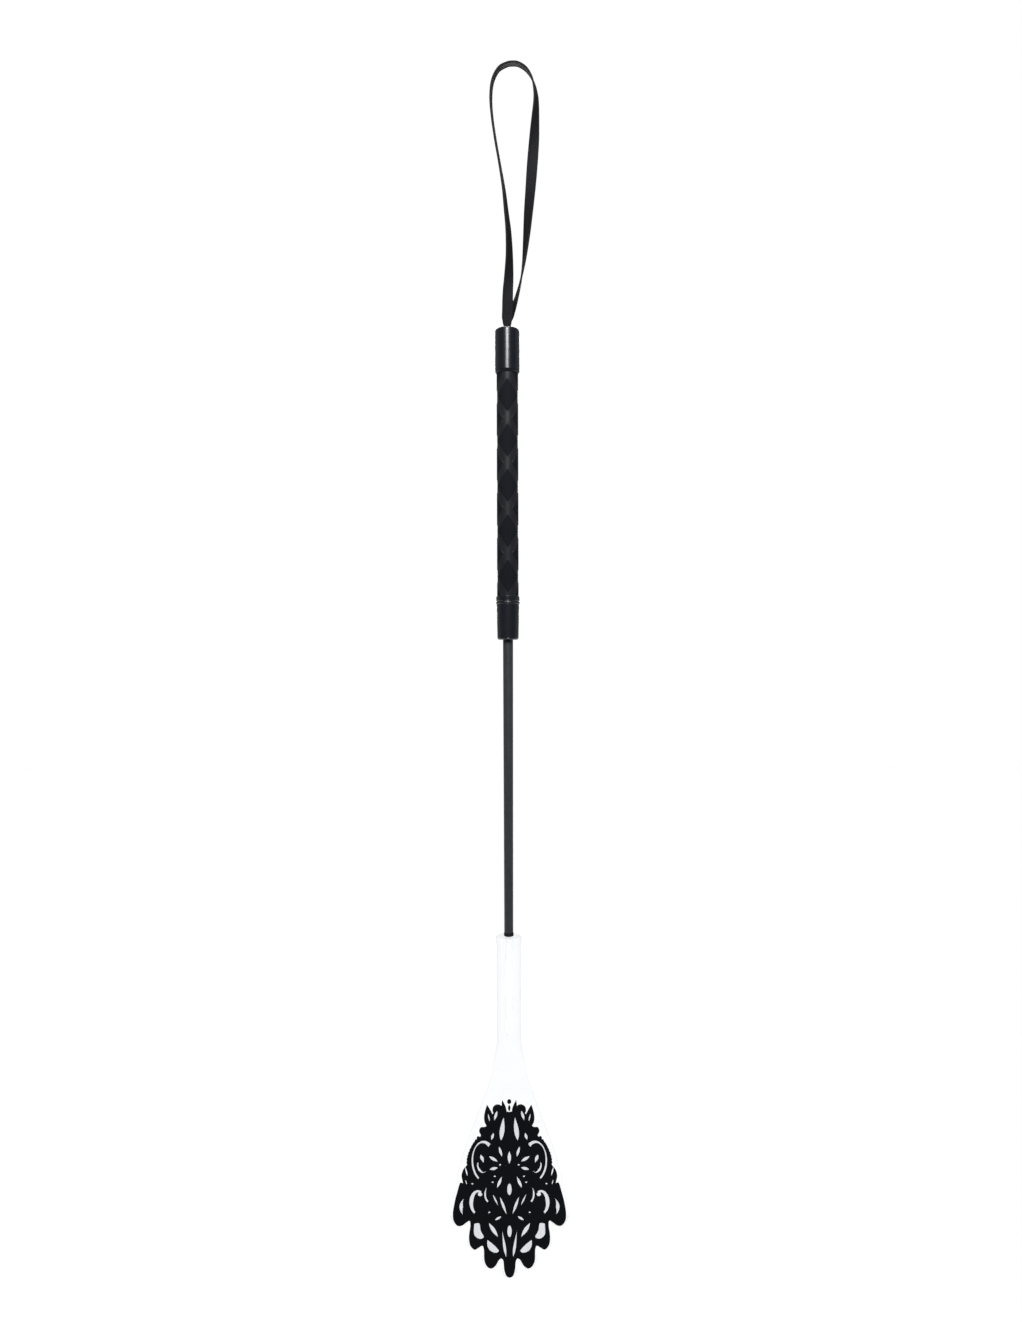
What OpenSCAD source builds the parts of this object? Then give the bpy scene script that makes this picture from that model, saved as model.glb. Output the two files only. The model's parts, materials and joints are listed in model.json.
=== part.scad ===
// Riding crop: a flat wrist loop, a cap, a lattice grip, a lower ferrule, a sheathed
// fibreglass shaft and a clear flexible keeper with a flat ornament on its face.
// It hangs by its loop: +Z is up, the ornament faces -Y, and the origin is on the
// crop's axis where the inside of the loop rests on its peg. Millimetres.

/* [Wrist loop] */
// Width of the strap
strap_w = 7; // [6:0.5:7.5]
// Thickness of the strap
strap_t = 1.2; // [1:0.1:1.3]
// Height of the loop's inside above the cap
loop_h = 170.5; // [165:0.5:190]
// Width of each strap end where it is gathered into the cap's hole
gather_w = 3.8; // [3.4:0.1:4]

/* [Top cap] */
// Diameter of the cap
cap_d = 15.9; // [15:0.1:17]
// Length of the cap
cap_len = 28.7; // [26:0.1:32]
// Radius of the cap's rounded top edge
cap_edge = 2.2; // [1:0.1:2.5]
// Diameter of the hole for the strap
cap_hole_d = 5.6; // [5.4:0.1:6]

/* [Grip] */
// Diameter over the raised pads
grip_d = 13.9; // [13.2:0.1:14.5]
// Length of the grip between the cap and the ferrule
grip_len = 144; // [140:1:150]
// How far the pads stand above the lattice
pad_rise = 0.25; // [0.15:0.05:0.4]
// Distance between two pads of one row
pad_pitch = 29; // [28:0.5:30]

/* [Lower ferrule] */
// Length of the ferrule
ferrule_len = 28.1; // [26:0.1:32]
// Diameter of the ferrule under its bead
ferrule_d = 14.5; // [14:0.1:15]
// Diameter of the ferrule at its lower end
ferrule_end_d = 13.6; // [12.5:0.1:14]
// Diameter over the bead
bead_d = 15.5; // [15:0.1:16]

/* [Shaft] */
// Length of shaft that shows below the ferrule
shaft_len = 191.3; // [150:0.1:260]
// Diameter of the sheath at the ferrule
shaft_d = 6.5; // [6.2:0.1:7]
// Diameter of the sheath at its lower end
shaft_end_d = 5.8; // [5.6:0.1:6]
// Diameter of the fibreglass rod
rod_d = 4.8; // [4.4:0.1:5]

/* [Keeper] */
// Diameter of the keeper's round neck
neck_d = 15.5; // [14.5:0.1:16]
// Length of the neck, down to the line where the keeper bends
neck_len = 80; // [76:1:90]
// Thickness of the blade
blade_t = 4.6; // [4:0.1:5]
// Clear margin around the ornament
margin = 1.7; // [1.2:0.1:2]
// Thickness of the ornament
ornament_t = 1.4; // [1:0.1:2]

/* [Hidden] */

cut = 1;          // how far a cutter runs past a face
glue = 0.05;      // glue line between two bonded round faces
gap = 0.3;        // clearance across a joint
round_fn = 96;    // facets of a large circle
small_fn = 32;    // facets of a small circle

// Heights, from the peg down
cap_top = -loop_h;
grip_top = cap_top - cap_len;
grip_end = grip_top - grip_len;
ferrule_end = grip_end - ferrule_len;
ring_len = 2.2;
ring_d = shaft_end_d + 0.45;
shaft_end = ferrule_end - shaft_len;
neck_top = shaft_end - gap;
bend_z = neck_top - neck_len;

// Inside the handle
core_d = 11.5;
cap_wall = 6;              // thickness of the cap's top
core_top = cap_top - cap_len / 2;
core_end = grip_end - 16;
rod_top = core_top - 6;
rod_end = bend_z + 17;     // the rod stops this far above the bend
knot_d = 9.6;
knot_gap = 0.3;            // between the knot and the core below it

// The line where the loop swings, above the cap
swing_rise = 3.5;
swing_z = cap_top + swing_rise;

// Grip pads
pad_half_h = 10.85;
pad_half_angle = 64;

// Bend of the keeper
bend_half_w = 9;
knuckle_r = blade_t / 2;

// ---------------------------------------------------------------- curves

function arc_points(centre, r, from, to, steps = 12) =
    [for (i = [0:steps]) let (a = from + (to - from) * i / steps)
        centre + r * [cos(a), sin(a)]];

// Clockwise, as the other outlines that it is joined with
function ellipse_points(centre, rx, ry, steps = 24) =
    [for (i = [0:steps - 1]) let (a = -360 * i / steps)
        centre + [rx * cos(a), ry * sin(a)]];

// A leaf from root to tip; its widest place is nearer the root when skew is above 1
function leaf_points(root, tip, half_w, skew = 1, steps = 10) =
    let (along = tip - root, side = [-along[1], along[0]] / norm(along))
    concat(
        [for (i = [0:steps]) let (t = i / steps)
            root + along * t + side * half_w * sin(180 * pow(t, 1 / skew))],
        [for (i = [1:steps - 1]) let (t = 1 - i / steps)
            root + along * t - side * half_w * sin(180 * pow(t, 1 / skew))]);

// A band along an ellipse, as wide as the three widths say at its start, middle and end
function scroll_points(centre, rx, ry, from, to, widths, steps = 20) =
    let (curve = [for (i = [0:steps]) let (t = i / steps, a = from + (to - from) * t,
            w = t < 0.5 ? widths[0] + (widths[1] - widths[0]) * ramp(2 * t)
                : widths[1] + (widths[2] - widths[1]) * ramp(2 * t - 1))
            [a, w]])
    concat(
        [for (c = curve) centre + [rx * cos(c[0]), ry * sin(c[0])]],
        [for (i = [steps:-1:0]) let (c = curve[i])
            centre + [(rx - c[1]) * cos(c[0]), (ry - c[1]) * sin(c[0])]]);

// Point at t between p1 and p2 on the smooth curve through four points
function between(p0, p1, p2, p3, t) =
    0.5 * (2 * p1 + (p2 - p0) * t + (2 * p0 - 5 * p1 + 4 * p2 - p3) * t * t
        + (3 * p1 - p0 - 3 * p2 + p3) * t * t * t);

// The smooth curve through a list of points, with some steps to each stretch
function smooth(points, steps) =
    let (last = len(points) - 1)
    concat(
        [for (i = [0:last - 1], s = [0:steps - 1])
            between(points[max(i - 1, 0)], points[i], points[i + 1],
                points[min(i + 2, last)], s / steps)],
        [points[last]]);

function ramp(t) = let (u = max(0, min(1, t))) u * u * (3 - 2 * u);

// ---------------------------------------------------------------- wrist loop

// The strap's middle line: x, y, height above the peg, the turn of its face and how
// far it is gathered, from 0 to 1. It climbs on the left, goes over the peg and comes
// down on the right. It makes one full twist, so that its ends lie flat on each other.
STRAP_ROUTE = [
    [0, -0.95, -164.7, -90, 0.9], [0, -1, -162.5, -86, 0.4], [0.2, -1.2, -158.5, -78, 0],
    [0.3, -1.4, -153, -71, 0], [0.6, -1.3, -145, -63, 0], [1.1, -0.8, -137.5, -52, 0],
    [1.5, -0.4, -126, -39, 0], [1.4, 0, -116, -31, 0], [0.8, 0, -105, -25, 0],
    [-0.4, 0, -94, -19, 0], [-2, 0, -79.5, -13, 0], [-4.5, 0, -64, -9, 0],
    [-7.2, 0, -48.5, -8, 0], [-9.4, 0, -33, -7, 0], [-10.2, 0, -20.5, -6, 0],
    [-9, 0, -10, -2, 0], [-5.2, 0, -2.4, 4, 0], [0, 0, 0.7, 8, 0],
    [3.8, 0, 1.4, 9, 0], [8, 0, 0.8, 9, 0], [13.2, 0, -2.8, 8, 0],
    [17.1, 0, -9.5, 12, 0], [18.9, 0, -18, 20, 0], [19.1, 0, -25, 27, 0],
    [18.6, 0, -34, 41, 0], [17.7, 0, -48.5, 66, 0], [16.5, 0, -64, 90, 0],
    [15.3, 0.2, -79.5, 109, 0], [14, 0.6, -94, 127, 0], [12.7, 1.2, -110, 147, 0],
    [11, 2.2, -126, 167, 0], [9, 3, -137.5, 178, 0], [7.2, 3.6, -145, 184, 0],
    [4.8, 3.9, -153, 196, 0.1], [2.1, 2.2, -159, 232, 0.4],
    [0.4, 1.1, -163, 264, 0.7], [0, 0.95, -164.7, 270, 0.9]];
STRAP_STEPS = 2;
LOOP_SCALE = loop_h / 170.5;
gather_t = 1.53;               // thickness of a gathered end

// The four corners of the strap's section at point i of its route
function strap_ring(route, i) =
    let (here = route[i],
        ahead = route[min(i + 1, len(route) - 1)],
        behind = route[max(i - 1, 0)],
        run = [ahead[0] - behind[0], ahead[1] - behind[1], ahead[2] - behind[2]],
        along = run / norm(run),
        flat = cross(along, [0, 1, 0]),
        normal = flat / norm(flat),
        broad = cross(normal, along),
        w = broad * cos(here[3]) + normal * sin(here[3]),
        t = cross(along, w),
        half_w = (strap_w + (gather_w - strap_w) * here[4]) / 2,
        half_t = (strap_t + (gather_t - strap_t) * here[4]) / 2,
        centre = [here[0], here[1], here[2] * LOOP_SCALE])
    [centre + w * half_w + t * half_t, centre - w * half_w + t * half_t,
        centre - w * half_w - t * half_t, centre + w * half_w - t * half_t];

module wrist_loop()
{
    route = smooth(STRAP_ROUTE, STRAP_STEPS);
    rings = len(route);
    points = [for (i = [0:rings - 1], p = strap_ring(route, i)) p];
    sides = [for (i = [0:rings - 2], k = [0:3])
        let (a = 4 * i + k, b = 4 * i + (k + 1) % 4)
        each [[a, b, b + 4], [a, b + 4, a + 4]]];
    last = 4 * (rings - 1);
    color("#3c3c40")
    polyhedron(points,
        concat(sides, [[3, 2, 1], [3, 1, 0]],
            [[last, last + 1, last + 2], [last, last + 2, last + 3]]));
}

// The two gathered ends, flat on each other, from the fold where the loop swings
// down to the knot
module strap_tails()
{
    bottom = cap_top - cap_wall;
    pair_t = 2 * gather_t + 0.1;
    color("#37373b")
    {
        translate([-gather_w / 2, -pair_t / 2, bottom])
        cube([gather_w, pair_t, swing_z - bottom]);
        translate([0, 0, swing_z])
        rotate([0, 90, 0])
        cylinder(h = gather_w, d = pair_t, center = true, $fn = 48);
    }
}

module strap_knot()
{
    top = cap_top - cap_wall;
    bottom = core_top + knot_gap;
    color("#37373b")
    translate([0, 0, bottom])
    rotate_extrude($fn = 48)
    polygon(concat([[0, 0]],
        arc_points([knot_d / 2 - 2, 2], 2, -90, 0, 6),
        arc_points([knot_d / 2 - 2, top - bottom - 2], 2, 0, 90, 6),
        [[0, top - bottom]]));
}

// ---------------------------------------------------------------- handle

module top_cap()
{
    r = cap_d / 2;
    lip = 0.5;
    color("#2a2a2d")
    translate([0, 0, cap_top])
    difference()
    {
        rotate_extrude($fn = round_fn)
        polygon(concat(
            [[0, 0]],
            arc_points([r - cap_edge, -cap_edge], cap_edge, 90, 0, 8),
            [[r, -cap_len + 1.5], [r - lip, -cap_len], [0, -cap_len]]));
        translate([0, 0, -cap_len - cut])
        cylinder(h = cap_len + 2 * cut, d = cap_hole_d, $fn = round_fn);
        translate([0, 0, -cap_len - cut])
        cylinder(h = cap_len - cap_wall + cut, d = core_d, $fn = round_fn);
    }
}

module handle_core()
{
    color("#4a4a4c")
    difference()
    {
        translate([0, 0, core_end])
        cylinder(h = core_top - core_end, d = core_d - 2 * glue, $fn = round_fn);
        translate([0, 0, core_end - cut])
        cylinder(h = rod_top - core_end + cut, d = rod_d + 2 * glue, $fn = round_fn);
    }
}

// One raised pad as seen along its own direction; its edges follow two helices
function pad_outline() =
    let (r = grip_d / 2, steps = 4,
        quarter = [for (i = [0:steps]) let (t = i / steps)
            [r * sin(pad_half_angle * (1 - t)), pad_half_h * t]])
    concat(
        quarter,
        [for (i = [steps - 1:-1:0]) [-quarter[i][0], quarter[i][1]]],
        [for (i = [1:steps]) [-quarter[i][0], -quarter[i][1]]],
        [for (i = [steps - 1:-1:1]) [quarter[i][0], -quarter[i][1]]]);

module pad_prism(angle, z)
{
    rotate([0, 0, angle])
    translate([0, 0, z])
    rotate([90, 0, 0])
    linear_extrude(grip_d)
    polygon(pad_outline());
}

module grip_sleeve()
{
    base_r = grip_d / 2 - pad_rise;
    first = -15.1;      // middle of the highest front pad below the grip's top
    rows = 5;
    color("#29292b")
    difference()
    {
        union()
        {
            translate([0, 0, grip_end])
            cylinder(h = grip_len, r = base_r, $fn = round_fn);
            intersection()
            {
                translate([0, 0, grip_end])
                cylinder(h = grip_len, d = grip_d, $fn = round_fn);
                union()
                {
                    for (angle = [0, 180], i = [0:rows - 1])
                    pad_prism(angle, grip_top + first - i * pad_pitch);
                    for (angle = [90, 270], i = [0:rows])
                    pad_prism(angle, grip_top + first + (0.5 - i) * pad_pitch);
                }
            }
        }
        translate([0, 0, grip_end - cut])
        cylinder(h = grip_len + 2 * cut, d = core_d, $fn = round_fn);
    }
}

module lower_ferrule()
{
    r = ferrule_d / 2;
    end_r = ferrule_end_d / 2;
    edge = 1.9;
    color("#2a2a2d")
    translate([0, 0, grip_end])
    difference()
    {
        rotate_extrude($fn = round_fn)
        polygon(concat(
            [[0, 0], [r + 0.1, 0], [r + 0.3, -0.4], [r + 0.3, -2.6], [r, -3],
                [r, -3.4]],
            arc_points([bead_d / 2 - 0.5, -4.2], 0.5, 90, -90, 6),
            [[r, -5], [r, -6.5]],
            arc_points([end_r - edge, -ferrule_len + edge], edge, 0, -90, 6),
            [[0, -ferrule_len]]));
        translate([0, 0, core_end - grip_end])
        cylinder(h = grip_end - core_end + cut, d = core_d, $fn = round_fn);
        translate([0, 0, -ferrule_len - cut])
        cylinder(h = ferrule_len, d = shaft_d + 2 * glue, $fn = round_fn);
    }
}

// ---------------------------------------------------------------- shaft

module core_rod()
{
    color("#e6e2d2")
    translate([0, 0, rod_end])
    cylinder(h = rod_top - rod_end, d = rod_d, $fn = 48);
}

module shaft_sheath()
{
    sheath_end = shaft_end + ring_len;
    stretches = 10;      // the taper is a little steeper near the lower end
    color("#3a3a3d")
    difference()
    {
        union()
        {
            translate([0, 0, ferrule_end])
            cylinder(h = core_end - ferrule_end, d = shaft_d, $fn = round_fn);
            translate([0, 0, sheath_end])
            rotate_extrude($fn = round_fn)
            polygon(concat(
                [[0, 0]],
                [for (i = [0:stretches]) let (t = i / stretches)
                    [(shaft_end_d + (shaft_d - shaft_end_d) * pow(t, 0.9)) / 2,
                        (ferrule_end - sheath_end) * t]],
                [[0, ferrule_end - sheath_end]]));
        }
        translate([0, 0, sheath_end - cut])
        cylinder(h = core_end - sheath_end + 2 * cut, d = rod_d + 2 * glue,
            $fn = round_fn);
    }
}

module shaft_ring()
{
    color("#202022")
    translate([0, 0, shaft_end])
    difference()
    {
        rotate_extrude($fn = round_fn)
        polygon([[0, 0], [ring_d / 2 - 0.3, 0], [ring_d / 2, 0.3],
            [ring_d / 2, ring_len - 0.4], [ring_d / 2 - 0.2, ring_len], [0, ring_len]]);
        translate([0, 0, -cut])
        cylinder(h = ring_len + 2 * cut, d = rod_d + 2 * glue, $fn = round_fn);
    }
}

// ---------------------------------------------------------------- keeper

// Everything on the keeper is drawn flat, x across and y up from the bend line

module mirrored()
{
    children();
    mirror([1, 0]) children();
}

module neck_section(d)
{
    linear_extrude(0.01)
    circle(d = d, $fn = 48);
}

module keeper_neck()
{
    flare_h = 15;        // height of the change from round to flat
    collar_h = 4.5;
    collar_d = neck_d + 0.8;
    color("#dfe4ea", 0.35)
    translate([0, 0, bend_z])
    difference()
    {
        union()
        {
            translate([0, 0, flare_h])
            cylinder(h = neck_len - flare_h, d = neck_d, $fn = round_fn);
            translate([0, 0, neck_len - collar_h])
            cylinder(h = collar_h - 0.5, d = collar_d, $fn = round_fn);
            hull()
            {
                translate([0, 0, flare_h])
                neck_section(neck_d);
                translate([-bend_half_w, -blade_t / 2, 0])
                cube([2 * bend_half_w, blade_t, 0.5]);
            }
        }
        translate([0, 0, rod_end - bend_z])
        cylinder(h = neck_len, d = rod_d + 2 * glue, $fn = round_fn);
        rotate([0, 90, 0])
        cylinder(h = 4 * bend_half_w, r = knuckle_r + gap, center = true, $fn = round_fn);
    }
}

// Half widths of the blade from the bend down to the wings
BLADE_SIDE = [[9, 0], [10.4, -7], [13.6, -17], [17.2, -27], [21, -37], [24.6, -46],
    [27.8, -55], [30.8, -64], [33.2, -73], [35.2, -82], [36.8, -90], [37.8, -97]];

module blade_outline()
{
    side = smooth(BLADE_SIDE, 3);
    polygon(concat(side, [[0, -118]], [for (i = [len(side) - 1:-1:0]) [-side[i][0], side[i][1]]]));
    offset(r = margin, $fn = small_fn)
    ornament_body();
}

module keeper_blade()
{
    color("#dfe4ea", 0.35)
    translate([0, 0, bend_z])
    {
        rotate([90, 0, 0])
        linear_extrude(blade_t, center = true)
        blade_outline();
        rotate([0, 90, 0])
        cylinder(h = 2 * bend_half_w, r = knuckle_r, center = true, $fn = round_fn);
    }
}

// Half outline of the ornament's plate, from its crest to its lowest drop
ORNAMENT_SIDE = [[0, -32.6], [4, -32], [8, -31.5], [11.4, -35], [13.6, -40], [15.6, -42.2],
    [18.2, -42.4], [19.4, -44.6], [18.2, -47.6], [20.4, -49.6], [23.4, -52.8],
    [25.4, -57], [26.6, -62], [27.3, -66.5], [29.6, -69.5], [30.8, -73.4], [29.8, -78.4],
    [31.8, -78.2], [33.6, -84], [35.2, -90], [36.4, -97], [36, -102], [33.6, -105.2],
    [30.6, -105.2], [27.8, -103.2], [25.6, -102.2], [25.2, -106], [26.1, -112],
    [25.5, -117.5], [22.8, -120.7], [20.2, -119.6], [17.5, -118.2], [16.5, -121],
    [16.3, -127.5], [14.6, -131.4], [11.8, -132.9], [9, -131], [7, -127.6], [5.3, -126.4],
    [4, -128.2], [3.5, -133.6], [2.2, -137.6], [0, -138.8]];
BEADS = 9;

module ornament_body()
{
    mirrored()
    {
        polygon(concat(smooth(ORNAMENT_SIDE, 3), [[0, -60]]));
        // crest: inner leaf, round lobe and outer leaf
        polygon(leaf_points([2.4, -36], [4.5, -24.9], 1.5, 1.2));
        polygon(ellipse_points([7.4, -31], 3.4, 3.3));
        polygon(leaf_points([12.4, -43], [14.3, -27.9], 3, 1.3));
        // beaded shoulder
        for (i = [0:BEADS - 1])
        let (t = i / (BEADS - 1))
        polygon(ellipse_points([20 + 6.6 * sin(90 * t), -49.2 - 15.6 * t], 1, 1, 16));
    }
}

// The openings cut through the ornament's plate
module ornament_openings()
{
    mirrored()
    {
        // crest: tulip slits and small seeds
        polygon(leaf_points([5.4, -51], [3.6, -35.6], 1.5, 1.25));
        polygon(leaf_points([9.6, -38], [7.8, -31.4], 0.9));
        polygon(leaf_points([12.6, -38.6], [13.6, -33.4], 0.45));
        polygon(leaf_points([11.4, -50.6], [10.2, -45.6], 0.9));
        // large scroll of the wing, with a curl and a seed inside it
        polygon(scroll_points([16.4, -64], 7.9, 13.4, 124, -62, [2.7, 0.8, 1.6]));
        polygon(scroll_points([17.2, -67], 3.6, 4.8, 30, -130, [0.6, 1.7, 0.6]));
        polygon(leaf_points([16.6, -65.4], [18.4, -59.6], 1.1, 0.8));
        // sprig of three leaves between the scroll and the stem
        polygon(leaf_points([7.2, -64.6], [13.4, -60.6], 1.2));
        polygon(leaf_points([7, -68], [13.2, -69.6], 1.2));
        polygon(leaf_points([4.8, -61.4], [6.6, -54.4], 0.9));
        polygon(leaf_points([4.7, -73.4], [7.9, -81.4], 1, 0.8));
        // slits of the side leaf
        polygon(leaf_points([27, -74], [28.4, -67.4], 0.5));
        polygon(leaf_points([27.4, -79.4], [28.2, -75.8], 0.4));
        // second row: hook with a bulb, crescent, tendril
        polygon(scroll_points([20.4, -90.6], 5.4, 8.2, 118, -66, [1.8, 2.5, 1.9]));
        translate([18.9, -85.4])
        circle(r = 1.5, $fn = small_fn);
        polygon(scroll_points([25.2, -93.6], 7, 7, 58, -52, [0.4, 2.3, 0.4]));
        polygon(scroll_points([11.6, -85.6], 4.6, 6.4, 45, -55, [0.5, 1.1, 1.5]));
        // stem slits
        polygon(leaf_points([1.9, -98.6], [6.2, -86.6], 0.9));
        polygon(leaf_points([7.2, -93], [11, -84.8], 0.6));
        polygon(leaf_points([9.6, -102.4], [5, -99.2], 1));
        // windows and slits of the hanging rows
        polygon(smooth([[22.6, -104], [19.4, -103.8], [18.6, -108.4], [16.4, -112.8],
            [19.2, -114.4], [22.6, -112], [22.9, -107.6], [22.6, -104]], 3));
        polygon(leaf_points([13.4, -103.4], [7.4, -113.2], 1.4));
        polygon(smooth([[14.2, -114.4], [10.4, -117.4], [6.8, -121.6], [8.8, -123.4],
            [12.4, -122], [14.3, -118.6], [14.2, -114.4]], 3));
        polygon(leaf_points([4.9, -107.4], [2.3, -126], 0.9, 0.6));
        // round dots
        for (p = [[23.8, -78.6], [10.8, -77.6], [6, -66.4], [9.4, -73.8], [13, -97]])
        translate(p)
        circle(r = 0.75, $fn = 24);
    }
    polygon(ellipse_points([0, -82.2], 1.4, 4));
    polygon(ellipse_points([0, -109.2], 1.4, 4));
    polygon(leaf_points([0, -66], [0, -57.4], 1.1));
}

module filigree_panel()
{
    color("#141416")
    translate([0, -blade_t / 2, bend_z])
    rotate([90, 0, 0])
    linear_extrude(ornament_t)
    difference()
    {
        ornament_body();
        ornament_openings();
    }
}

module finial_studs()
{
    color("#141416")
    translate([0, -blade_t / 2, bend_z])
    rotate([90, 0, 0])
    linear_extrude(ornament_t)
    {
        translate([0, -25.7])
        circle(r = 1.3, $fn = small_fn);
        polygon(leaf_points([0, -31.8], [0, -27.9], 0.8));
    }
}

wrist_loop();
strap_tails();
strap_knot();
top_cap();
handle_core();
grip_sleeve();
lower_ferrule();
core_rod();
shaft_sheath();
shaft_ring();
keeper_neck();
keeper_blade();
filigree_panel();
finial_studs();
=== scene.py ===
"""Riding crop: the visual model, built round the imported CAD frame.

All places are in metres. +Z is up, and the ornament faces -Y.
"""

import json
import math
from contextlib import contextmanager

import bmesh
import bpy
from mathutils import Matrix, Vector


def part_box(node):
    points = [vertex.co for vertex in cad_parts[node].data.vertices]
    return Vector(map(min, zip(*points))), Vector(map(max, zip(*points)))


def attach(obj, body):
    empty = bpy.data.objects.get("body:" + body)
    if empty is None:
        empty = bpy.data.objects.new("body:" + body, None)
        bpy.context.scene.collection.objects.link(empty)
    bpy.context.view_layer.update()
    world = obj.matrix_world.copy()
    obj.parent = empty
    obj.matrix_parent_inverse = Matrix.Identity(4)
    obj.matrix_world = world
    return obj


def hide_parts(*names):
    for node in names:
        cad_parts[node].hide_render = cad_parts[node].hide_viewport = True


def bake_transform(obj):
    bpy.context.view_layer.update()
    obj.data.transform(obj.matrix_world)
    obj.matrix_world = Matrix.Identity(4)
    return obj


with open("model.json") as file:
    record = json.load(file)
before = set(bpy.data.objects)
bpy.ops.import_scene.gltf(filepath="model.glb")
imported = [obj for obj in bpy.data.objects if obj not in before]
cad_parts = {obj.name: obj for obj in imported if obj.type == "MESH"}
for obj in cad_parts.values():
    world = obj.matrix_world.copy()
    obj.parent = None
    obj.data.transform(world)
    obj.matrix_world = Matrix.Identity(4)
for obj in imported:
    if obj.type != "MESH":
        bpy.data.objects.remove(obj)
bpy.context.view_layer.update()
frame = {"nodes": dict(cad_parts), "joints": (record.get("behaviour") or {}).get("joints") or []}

MM = 0.001

# ------------------------------------------------------------------ places from the frame

JOINTS = {joint["name"]: joint for joint in frame["joints"]}
BEND_Z = JOINTS["keeper_flex"]["pos_m"][2]


def top_of(node):
    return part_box(node)[1].z


def bottom_of(node):
    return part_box(node)[0].z


def radius_of(node):
    low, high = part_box(node)
    return (high.x - low.x) / 2


CAP_TOP = top_of("top_cap")
GRIP_TOP = top_of("grip_sleeve")
GRIP_END = bottom_of("grip_sleeve")
FERRULE_END = bottom_of("lower_ferrule")
SHAFT_END = bottom_of("shaft_ring")
NECK_TOP = top_of("keeper_neck")

# ------------------------------------------------------------------ camera

CAMERA_DISTANCE = 0.646
CAMERA_X = 1.9 * MM
CAMERA_Z = -0.385
CAMERA_ROLL = 0.15  # degrees
LENS_MM = 27.2
SENSOR_MM = 36
CLIP_START = 0.01
CLIP_END = 50


def make_camera():
    data = bpy.data.cameras.new("camera")
    data.sensor_width = SENSOR_MM
    data.lens = LENS_MM
    data.clip_start = CLIP_START
    data.clip_end = CLIP_END
    camera = bpy.data.objects.new("camera", data)
    camera.location = (CAMERA_X, -CAMERA_DISTANCE, CAMERA_Z)
    camera.rotation_euler = (math.radians(90), math.radians(CAMERA_ROLL), 0)
    bpy.context.scene.collection.objects.link(camera)
    bpy.context.scene.camera = camera


# ------------------------------------------------------------------ materials


class Material:
    """A material with its main shader, and short calls for the nodes that feed it."""

    def __init__(self, name, **sockets):
        self.data = bpy.data.materials.new(name)
        self.data.use_nodes = True
        self.tree = self.data.node_tree
        self.shader = self.tree.nodes["Principled BSDF"]
        for socket, value in sockets.items():
            self.shader.inputs[socket.replace("_", " ")].default_value = value

    def node(self, kind, **values):
        """A new node; a value is set on the input or, if there is none, on the node itself."""
        made = self.tree.nodes.new(kind)
        for key, value in values.items():
            name = key.replace("_", " ")
            if name in made.inputs:
                made.inputs[name].default_value = value
            else:
                setattr(made, key, value)
        return made

    def link(self, source, target):
        self.tree.links.new(source, target)

    def feed(self, source, socket):
        self.link(source, self.shader.inputs[socket])

    def place(self, scale=(1, 1, 1), kind="Object"):
        """Texture coordinates in metres times scale."""
        coordinates = self.node("ShaderNodeTexCoord")
        mapping = self.node("ShaderNodeMapping", Scale=scale)
        self.link(coordinates.outputs[kind], mapping.inputs["Vector"])
        return mapping.outputs["Vector"]

    def noise(self, place, scale, detail=3.0, roughness=0.6):
        noise = self.node("ShaderNodeTexNoise", Scale=scale, Detail=detail, Roughness=roughness)
        self.link(place, noise.inputs["Vector"])
        return noise.outputs["Fac"]

    def ramp(self, factor, *stops):
        """A colour for each (position, colour) stop; a number stands for a grey."""
        ramp = self.node("ShaderNodeValToRGB")
        elements = ramp.color_ramp.elements
        while len(elements) < len(stops):
            elements.new(0.5)
        for element, (position, colour) in zip(elements, stops):
            element.position = position
            grey = isinstance(colour, (int, float))
            element.color = (colour,) * 3 + (1,) if grey else (*colour, 1)
        self.link(factor, ramp.inputs["Fac"])
        return ramp.outputs["Color"]

    def math(self, operation, first, second=0):
        made = self.node("ShaderNodeMath", operation=operation)
        for slot, value in enumerate((first, second)):
            if isinstance(value, (int, float)):
                made.inputs[slot].default_value = value
            else:
                self.link(value, made.inputs[slot])
        return made.outputs["Value"]

    def blend(self, first, second, share):
        """share of the first value plus the rest of the second."""
        first = self.math("MULTIPLY", first, share)
        return self.math("ADD", first, self.math("MULTIPLY", second, 1 - share))

    def bump(self, height, strength, distance):
        bump = self.node("ShaderNodeBump", Strength=strength, Distance=distance)
        self.link(height, bump.inputs["Height"])
        self.feed(bump.outputs["Normal"], "Normal")


COOL_BLACK = (0.9, 1.0, 1.42)  # shares of red, green and blue in the blacks
SOFT_BLACK = (0.98, 1.0, 1.22)
BROAD_GRAIN = 25               # how much broader the second grain is than the fine one
FINE_SHARE = 0.6               # of the fine grain, the rest is the broad one's
GRAIN_DEPTH = 0.05 * MM
DRAWN_DEPTH = 0.04 * MM
WARP_PITCH = 0.62 * MM
WEFT_PITCH = 0.5 * MM
WEAVE_DEPTH = 0.12 * MM


def grainy(name, dark, light, grain, rough, bump, tint=COOL_BLACK, **sockets):
    """A plastic or rubber whose colour and roughness vary a little over a fine grain.

    dark and light are greys, grain is in grains per metre, and rough is two roughnesses.
    """
    dark, light = ([grey * share for share in tint] for grey in (dark, light))
    material = Material(name, **sockets)
    place = material.place()
    fine = material.noise(place, grain, 4)
    broad = material.noise(place, grain / BROAD_GRAIN, 2)
    mixed = material.blend(fine, broad, FINE_SHARE)
    material.feed(material.ramp(mixed, (0.3, dark), (0.7, light)), "Base Color")
    material.feed(material.ramp(mixed, (0.3, rough[0]), (0.7, rough[1])), "Roughness")
    material.bump(fine, bump, GRAIN_DEPTH)
    return material


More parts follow.
